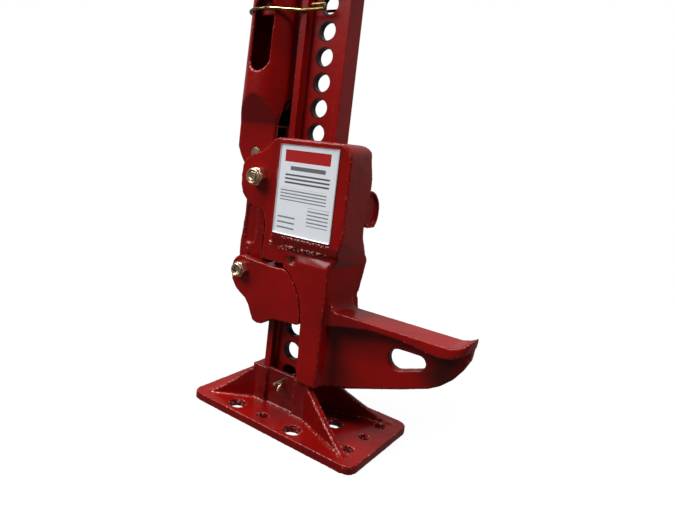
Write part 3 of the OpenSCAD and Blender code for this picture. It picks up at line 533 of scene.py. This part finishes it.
# The runner's coat: the cast red, with painted shade in three places of the nose's web,
# under the flange and in the corner by the front wall, and a brown painted shade in the
# dimple, all fading out at their reach.
runner_red = enamel("red_enamel_with_painted_shade", "#880703", "#740503", 0.3, cast_edge)
for middle, reach, share, hue in (
    ((0.1430, web_y, 0.0840), 0.026, 0.90, "#240A06"),
    ((0.0580, web_y, 0.0950), 0.036, 0.60, "#240503"),
    ((0.0560, web_y, 0.0500), 0.030, 0.55, "#240503"),
    (dimple_at, 0.0075, 0.6, "#3A2A12"),
):
    darken_near(runner_red.node_tree, middle, reach, share, hue)
casting("large_runner", "large_runner", runner_cell, [hollow, dimple], paint=runner_red,
        crumbly=runner_crumbly)


def rough_edge(tree):
    """The peaks of rough cast-on iron, where the enamel has run thin and takes a pale painted
    highlight.
    """
    peak = node(tree, "NewGeometry").outputs["Pointiness"]
    edge = node(tree, "MapRange", {"From Min": 0.49, "From Max": 0.57},
                {"Value": peak}).outputs[0]
    return edge, None


# Enamel over rough iron: paler and thinner, with a painted highlight on its peaks, so the crumbs
# catch the light as dots.
crumb_red = enamel("red_enamel_on_rough_iron", "#8A1410", "#7C0C08", 0.9, rough_edge,
                   (0.25, 0.45))


def crumbs(name, body, x_span, z_span, face_y, tall, grain):
    """A row of rough cast-on iron: a sheet just under the skin that breaks through."""
    cell, under, thick, flat, finer = 0.00045, 0.0004, 0.0012, 0.16, 2.3
    wide, high = x_span[1] - x_span[0], z_span[1] - z_span[0]
    bpy.ops.mesh.primitive_grid_add(x_subdivisions=round(wide / cell),
                                    y_subdivisions=round(high / cell), size=1)
    made = bpy.context.object
    made.name = name
    for v in made.data.vertices:
        across, along = v.co.x + 0.5, v.co.y + 0.5
        x = x_span[0] + across * wide
        z = z_span[0] + along * high
        coarse = noise.noise(Vector((x, 0, z)) / grain)
        fine = noise.noise(Vector((x, 0.1, z)) / grain * finer)
        rise = coarse * 0.6 + fine * 0.4
        # The row dies away in a quarter of its length and a third of its height.
        fade = min(1, 4 * across, 4 - 4 * across, 3 * along, 3 - 3 * along)
        v.co = (x, face_y(x, z) + under - tall * max(0, rise + flat) * fade, z)
    whole_mesh(made, bpy.ops.mesh.normals_make_consistent, inside=False)
    if sum(p.normal.y for p in made.data.polygons) > 0:
        made.data.flip_normals()
    modify(made, "SOLIDIFY", thickness=thick, offset=-1)
    bpy.ops.object.shade_smooth()
    made.data.materials.append(crumb_red)
    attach(made, body)


panel_out, panel_foot, panel_slope, panel_left = 0.003, 0.1575, 0.0078, -0.024
deepest_from = 0.03


def below_label(x, z):
    """Depth of the casting's front under the label panel, where it slopes back."""
    if z > hollow_top:
        return -wall_y - panel_out * min(1, (z - panel_foot) / panel_slope) * (x > panel_left)
    along = max(0, (x - hollow_left) / (hollow_full - hollow_left))
    deep = hollow_deep * (1 if x > deepest_from else hollow_most * min(1, along))
    return -wall_y + deep * min(1, (hollow_top - z) / (hollow_top - hollow_mid))


for name, x_span, z_span, tall, grain in (
    ("panel_foot_crumbs", (-0.0165, 0.0445), (0.1632, 0.1664), 0.0040, 0.0019),
    ("hollow_crumbs", (-0.0180, 0.0405), (0.1530, 0.1590), 0.0050, 0.0026),
    ("rivet_crumbs", (-0.0262, -0.0206), (0.1546, 0.1604), 0.0060, 0.0021),
):
    crumbs(name, "large_runner", x_span, z_span, below_label, tall, grain)


def turned(name, profile, at):
    """A part turned about an axis along Y: its half section, spun round."""
    mesh = bpy.data.meshes.new(name)
    mesh.from_pydata([(r, y, 0) for r, y in profile],
                     [(i, i + 1) for i in range(len(profile) - 1)], [])
    made = bpy.data.objects.new(name, mesh)
    bpy.context.collection.objects.link(made)
    whole_mesh(made, bpy.ops.mesh.spin, steps=48, angle=math.tau, center=(0, 0, 0),
               axis=(0, 1, 0))
    whole_mesh(made, bpy.ops.mesh.remove_doubles, threshold=same_point)
    whole_mesh(made, bpy.ops.mesh.normals_make_consistent, inside=False)
    made.data.transform(Matrix.Translation(at))
    return made


def hexagon(name, across, y_in, y_out, at):
    """A hexagon between two depths, its outer corners turned off at thirty degrees."""
    bpy.ops.mesh.primitive_cylinder_add(
        vertices=6, radius=across / math.sqrt(3), depth=abs(y_out - y_in),
        location=(at[0], (y_in + y_out) / 2, at[2]), rotation=(math.pi / 2, 0, 0))
    made = bpy.context.object
    made.name = name
    bpy.ops.object.transform_apply(location=True, rotation=True, scale=True)
    whole_mesh(made, bpy.ops.transform.rotate, value=math.radians(30), orient_axis="Y",
               center_override=at)
    barrel_r, face_r = 0.6 * across, 0.475 * across
    turn_off = 0.072 * across * math.copysign(1, y_out - y_in)
    barrel = turned("barrel", [
        (0, y_in), (barrel_r, y_in), (barrel_r, y_out - turn_off), (face_r, y_out), (0, y_out),
    ], (at[0], 0, at[2]))
    modify(made, "BOOLEAN", object=barrel, operation="INTERSECT", solver="EXACT")
    bpy.data.objects.remove(barrel)
    return made


def join(first, second):
    """Makes two pieces one, under the first one's name."""
    pick(first)
    second.select_set(True)
    bpy.ops.object.join()


def finished(made, material, body, node_name):
    """The last lines of a metal part: smooth turned faces, finish, body and node."""
    pick(made)
    bpy.ops.object.shade_smooth_by_angle(angle=math.radians(28))
    made.data.materials.clear()
    made.data.materials.append(material)
    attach(made, body)
    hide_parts(node_name)


def bolt_and_nut(which, body, d, face, head_face, reach):
    """A hexagon bolt along Y with a lock nut, whose collar holds a nylon ring."""
    low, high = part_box(which + "_bolt")
    at = ((low[0] + high[0]) / 2, 0, (low[2] + high[2]) / 2)

    # Each point of the collar's section is a radius, and how many bolt diameters it
    # stands out from the wall.
    nut_across, nut_tall, collar_in = 1.66 * d, 0.74 * d, 0.6
    nut = hexagon(which + "_lock_nut", nut_across, face, face - nut_tall, at)
    rim, lip, hole = 0.47 * nut_across, 0.345 * nut_across, d / 2 + 0.0001
    section = [
        (hole, collar_in), (hole, 0.96), (lip, 0.96), (lip, 1.05), (lip + 0.0004, 1.11),
        (rim - 0.0010, 1.12), (rim - 0.0003, 1.08), (rim, 1.0), (rim, collar_in),
        (hole, collar_in),
    ]
    join(nut, turned("collar", [(r, face - out * d) for r, out in section], at))
    finished(nut, gold_zinc, body, which + "_nut")

    # The thread is a row of rings, which at this size can't be told from a helix.
    turns, pitch, deep, end = 8, 0.00125, 0.0005, face - reach * d
    point_r, point_rim, point_in, into_head = 0.28 * d, 0.32 * d, 0.0006, 0.0002
    head_across, head_tall = 1.5 * d, 0.7 * d
    half = [(0, end + point_in), (point_r, end + point_in), (point_rim, end),
            (d / 2 - deep, end)]
    for i in range(turns):
        half += [(d / 2 - deep, end + (i + 0.8) * pitch), (d / 2, end + (i + 1.3) * pitch)]
    half += [(d / 2, head_face), (d / 2, head_face + into_head), (0, head_face + into_head)]
    bolt = turned(which + "_hex_bolt", half, at)
    join(bolt, hexagon("head", head_across, head_face, head_face + head_tall, at))
    finished(bolt, gold_zinc, body, which + "_bolt")


large_bolt_d, large_bolt_reach = 0.0095, 1.14
bolt_and_nut("shear", "large_runner", large_bolt_d, -wall_y, wall_y, large_bolt_reach)
dress("latch_pin", gold_zinc)


# Handle: a cast socket with a long steel tube in it, closed by a plastic cap. A
# wire clip round the socket holds the handle upright against the bar.
socket_cell, socket_inside = 0.0010, 0.042

# The socket's coat: the cast red outside, and near-black on inner walls that face another
# wall close by, partly the unpainted iron and partly painted shade, so that its window
# reads as a black slot.
socket_red = enamel("red_enamel_on_hollow_cast_iron", "#880703", "#740503", 0.3, cast_edge)
tree = socket_red.node_tree
# The share of near-black, partly unpainted iron and partly painted shade, kept on the casting's
# points.
bare = node(tree, "Attribute", {"attribute_name": "bare"}).outputs["Fac"]
overlay_colour(tree, bare, "#0E0B0B")
casting("handle_socket", "handle", socket_cell, paint=socket_red, inside=socket_inside)
dress("handle_tube", rolled_red)
dress("socket_pin", gold_zinc)

# Darker zinc on the spring wire: an olive gold, and shinier than the bolts.
spring_zinc = plate("yellow_zinc_on_spring_wire", "#A08A55", "#7E6A44", 0.22)
dress("handle_clip", spring_zinc)

# Black moulded plastic: a soft dark sheen. Its fine grain is drawn coarser than it is.
grain_mm = 0.8
cap_black, tree = blank("black_moulded_polythene")
place = node(tree, "TexCoord").outputs["Object"]
grain = node(tree, "TexNoise", {"Scale": 1000 / grain_mm, "Detail": 2},
             {"Vector": place}).outputs[0]
skin = node(tree, "Bump", {"Strength": 0.2, "Distance": 0.0001}, {"Height": grain}).outputs[0]
plastic = node(tree, "BsdfPrincipled", {"Base Color": linear("#1B1B1C"), "Roughness": 0.5},
               {"Normal": skin})
node(tree, "OutputMaterial", links={"Surface": plastic.outputs[0]})
dress("handle_end_cap", cap_black)


# Small runner and pitman: the lower casting that steps up the bar, pulled by the
# link from the handle's socket, on a bolt of its own.
small_cell, pitman_cell, pitman_soften = 0.0009, 0.0008, 14
pitman_bolt_d, pitman_bolt_reach = 0.0080, 0.8
casting("small_runner", "small_runner", small_cell)
casting("pitman", "pitman", pitman_cell, soften=pitman_soften)
bolt_and_nut("pitman", "small_runner", pitman_bolt_d, -wall_y, wall_y, pitman_bolt_reach)


# Climbing pins: turned steel pins with their springs and cross pins, behind the two
# runners. The pins and springs are bare and oiled, the cross pins plated.

# Oiled steel: a grey mirror with brownish clouds, colder than the plated parts.
oiled = plate("oiled_turned_steel", "#8F8F8C", "#6F6C68", 0.28)
for runner in ("upper", "lower"):
    dress(runner + "_climbing_pin", oiled)
    dress(runner + "_pin_spring", oiled)
    dress(runner + "_cross_pin", gold_zinc)


# Reversing latch: a small red casting on the right, with a raised rim. It swings on
# the latch pin, and its rim shows behind the runner's right side.
latch_cell = 0.0006
casting("reversing_latch", "latch", latch_cell)


# Top clamp: the casting bolted to the bar's upper end, with an eye for a shackle. Its
# bolt is of the same size as the shear bolt.
clamp_cell = 0.0013
clamp_low, clamp_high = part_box("top_clamp")
casting("top_clamp", "frame", clamp_cell)
bolt_and_nut("clamp", "frame", large_bolt_d, clamp_low[1], clamp_high[1], large_bolt_reach)


# Label: a self-adhesive film on the front of the large runner, blank but for a plain
# red band, a grey bar and ruled lines.
label_low, label_high = (-0.021, 0.168), (0.040, 0.2475)
label_y, label_thick, label_corner = -0.0240, 0.0002, 0.0012
label_mid = [(low + high) / 2 for low, high in zip(label_low, label_high)]
label_size = [high - low for low, high in zip(label_low, label_high)]
bpy.ops.mesh.primitive_cube_add(
    size=1, location=(label_mid[0], label_y - label_thick / 2, label_mid[1]),
    scale=(label_size[0], label_thick, label_size[1]))
label = bpy.context.object
label.name = "label"
bpy.ops.object.transform_apply(location=True, rotation=True, scale=True)
bpy.ops.object.mode_set(mode="EDIT")
bpy.ops.mesh.select_all(action="DESELECT")
bpy.ops.object.mode_set(mode="OBJECT")
for edge in label.data.edges:
    start, end = (label.data.vertices[i].co for i in edge.vertices)
    edge.select = abs(start.y - end.y) > label_thick / 2
bpy.ops.object.mode_set(mode="EDIT")
bpy.ops.mesh.select_mode(type="EDGE")
bpy.ops.mesh.bevel(offset=label_corner, segments=4)
bpy.ops.object.mode_set(mode="OBJECT")

# Vinyl film: a cool bright white with a soft gloss, the palest thing on the jack. Each
# block of ink is a colour, its middle and half width, its middle and half height, and
# the pitch and thickness of its lines. They are coarser than print, so that they show,
# and a pitch of a metre leaves a block solid.
solid = 1.0
film, tree = blank("white_vinyl_film")
place = node(tree, "TexCoord").outputs["Object"]
xyz = node(tree, "SeparateXYZ", links={0: place}).outputs
ink = node(tree, "RGB").outputs[0]
ink.default_value = linear("#E0E4E9")
for hue, x_mid, x_half, z_mid, z_half, pitch, thick in (
    ("#A81413", 0.0085, 0.0240, 0.2376, 0.0052, solid, solid),
    ("#66686C", 0.0100, 0.0185, 0.2270, 0.0018, solid, solid),
    ("#55565A", 0.0100, 0.0235, 0.2174, 0.0056, 0.0034, 0.0016),
    ("#7B7D82", 0.0075, 0.0245, 0.2040, 0.0056, 0.0028, 0.0011),
    ("#7B7D82", 0.0250, 0.0110, 0.1870, 0.0080, 0.0032, 0.0011),
    ("#7B7D82", -0.0080, 0.0095, 0.1790, 0.0070, 0.0047, 0.0014),
):
    wide = node(tree, "Math", {"operation": "COMPARE", 1: x_mid, 2: x_half},
                {0: xyz["X"]}).outputs[0]
    tall = node(tree, "Math", {"operation": "COMPARE", 1: z_mid, 2: z_half},
                {0: xyz["Z"]}).outputs[0]
    inked = node(tree, "Math", {"operation": "MULTIPLY"}, {0: wide, 1: tall}).outputs[0]
    step = node(tree, "Math", {"operation": "PINGPONG", 1: pitch / 2}, {0: xyz["Z"]}).outputs[0]
    line = node(tree, "Math", {"operation": "LESS_THAN", 1: thick / 2}, {0: step}).outputs[0]
    inked = node(tree, "Math", {"operation": "MULTIPLY"}, {0: inked, 1: line}).outputs[0]
    ink = node(tree, "Mix", {"data_type": "RGBA", 7: linear(hue)}, {0: inked, 6: ink}).outputs[2]
sheet = node(tree, "BsdfPrincipled", {"Roughness": 0.35}, {"Base Color": ink})
node(tree, "OutputMaterial", links={"Surface": sheet.outputs[0]})
label.data.materials.append(film)
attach(label, "large_runner")
